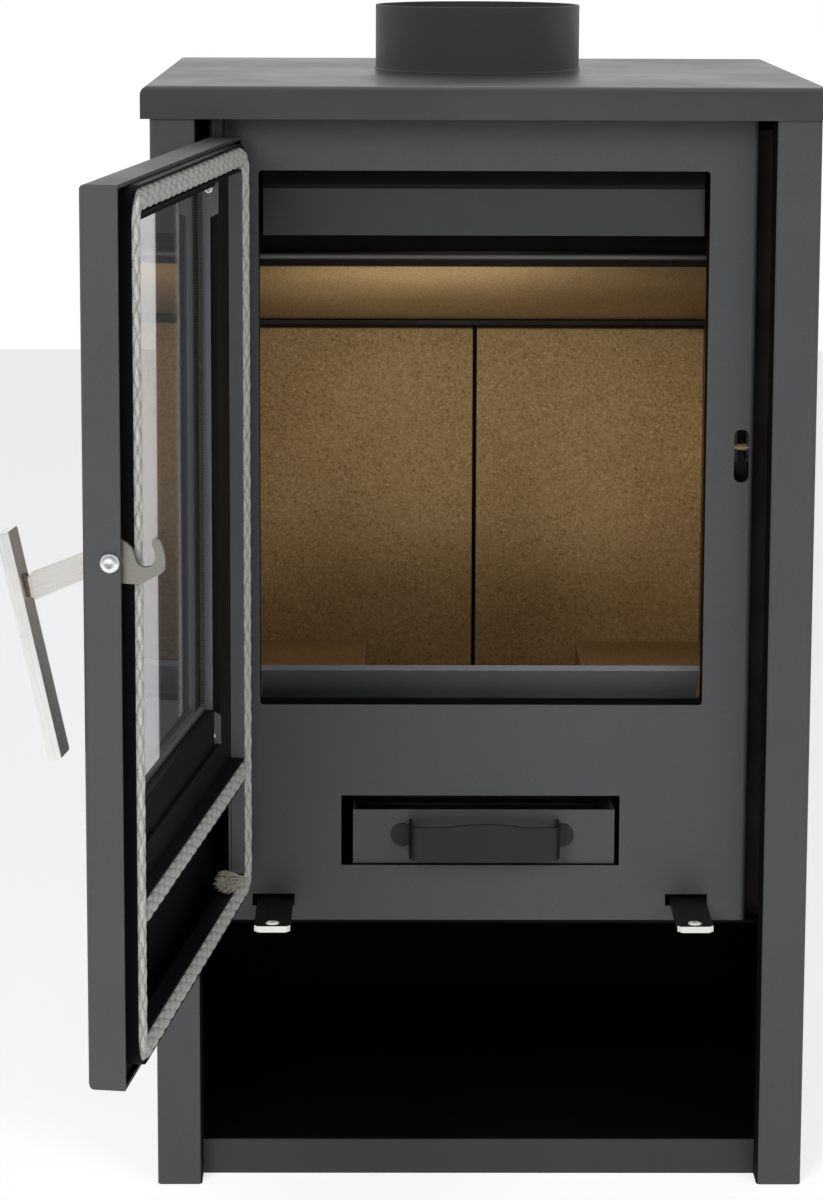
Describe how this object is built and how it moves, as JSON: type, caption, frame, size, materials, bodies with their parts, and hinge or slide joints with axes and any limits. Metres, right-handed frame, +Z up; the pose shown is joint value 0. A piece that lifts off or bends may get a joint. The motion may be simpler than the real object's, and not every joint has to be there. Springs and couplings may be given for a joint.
{
  "type": "wood stove",
  "caption": "Sheet-steel wood stove with a glazed door on a side hinge, latch handle, ash drawer, air levers, brick-lined firebox, wood store and top flue collar.",
  "frame": {"origin": "centre of the cabinet's footprint, on the floor", "axes": "+Z up, +X to the right seen from the front, -Y out of the front, where the door opens"},
  "size_m": [0.5192, 0.7514, 0.814],
  "materials": {
    "stove_paint": "satin matt, fine grain",
    "top_paint": "satin matt",
    "dark_paint": "matt",
    "sooty_steel": "matt, heat-darkened",
    "bare_steel": "brushed",
    "zinc": "zinc plated",
    "firebrick": "rough",
    "baffle_board": "rough",
    "cast_iron": "rough",
    "rope": "braided",
    "glass": "clear"
  },
  "bodies": {
    "cabinet": {"left_side_panel": "stove_paint", "right_side_panel": "stove_paint", "back_panel": "stove_paint", "panel_screws": "zinc", "top_plate": "top_paint", "flue_collar": "dark_paint", "plinth": "dark_paint", "log_floor": "dark_paint", "log_back": "dark_paint", "log_ceiling": "dark_paint", "front_plate": "stove_paint", "firebox_front": "sooty_steel", "firebox_left": "sooty_steel", "firebox_right": "sooty_steel", "firebox_back": "sooty_steel", "firebox_top": "sooty_steel", "firebox_floor": "sooty_steel", "ash_floor": "sooty_steel", "deflector": "bare_steel", "log_retainer": "sooty_steel", "back_brick_left": "firebrick", "back_brick_right": "firebrick", "side_brick_left": "firebrick", "side_brick_right": "firebrick", "floor_brick_left": "firebrick", "floor_brick_right": "firebrick", "grate": "cast_iron", "baffle": "baffle_board", "baffle_bar": "bare_steel", "baffle_ledge": "sooty_steel", "baffle_pegs": "sooty_steel", "air_guide_left": "sooty_steel", "air_guide_right": "sooty_steel", "latch_keeper": "sooty_steel", "latch_pin": "bare_steel", "hinge_bracket_upper": "dark_paint", "hinge_bracket_lower": "dark_paint", "hinge_pin_upper": "dark_paint", "hinge_pin_lower": "dark_paint"},
    "door": {"door_shell": "stove_paint", "door_liner": "stove_paint", "door_glass": "glass", "glass_gasket": "rope", "glass_retainer_left": "stove_paint", "glass_retainer_right": "stove_paint", "glass_retainer_top": "stove_paint", "glass_retainer_bottom": "stove_paint", "retainer_screws": "zinc", "door_rope": "rope", "door_mid_rope": "rope", "rope_tail": "rope", "pivot_screw": "zinc", "pivot_washer": "bare_steel", "pivot_nut": "zinc"},
    "handle": {"handle_lever": "bare_steel", "handle_grip": "bare_steel"},
    "drawer": {"ash_drawer": "stove_paint", "drawer_handle": "dark_paint"},
    "primary_lever": {"primary_air_lever": "dark_paint"},
    "secondary_lever": {"secondary_air_lever": "dark_paint"}
  },
  "joints": [
    {"name": "door_hinge", "type": "hinge", "parent": "cabinet", "child": "door", "pos_m": [-0.1803, -0.1855, 0.4684], "axis": [0, 0, -1], "range_deg": [-98, 20]},
    {"name": "handle_pivot", "type": "hinge", "parent": "door", "child": "handle", "pos_m": [-0.22194, -0.54218, 0.5172], "axis": [0.1392, 0.9903, 0], "range_deg": [0, 36]},
    {"name": "drawer_slide", "type": "slide", "parent": "cabinet", "child": "drawer", "axis": [0, -1, 0], "range_m": [0, 0.2]},
    {"name": "primary_air_slide", "type": "slide", "parent": "cabinet", "child": "primary_lever", "axis": [0, -1, 0], "range_m": [-0.025, 0.015]},
    {"name": "secondary_air_slide", "type": "slide", "parent": "cabinet", "child": "secondary_lever", "axis": [0, -1, 0], "range_m": [-0.025, 0.015]}
  ]
}
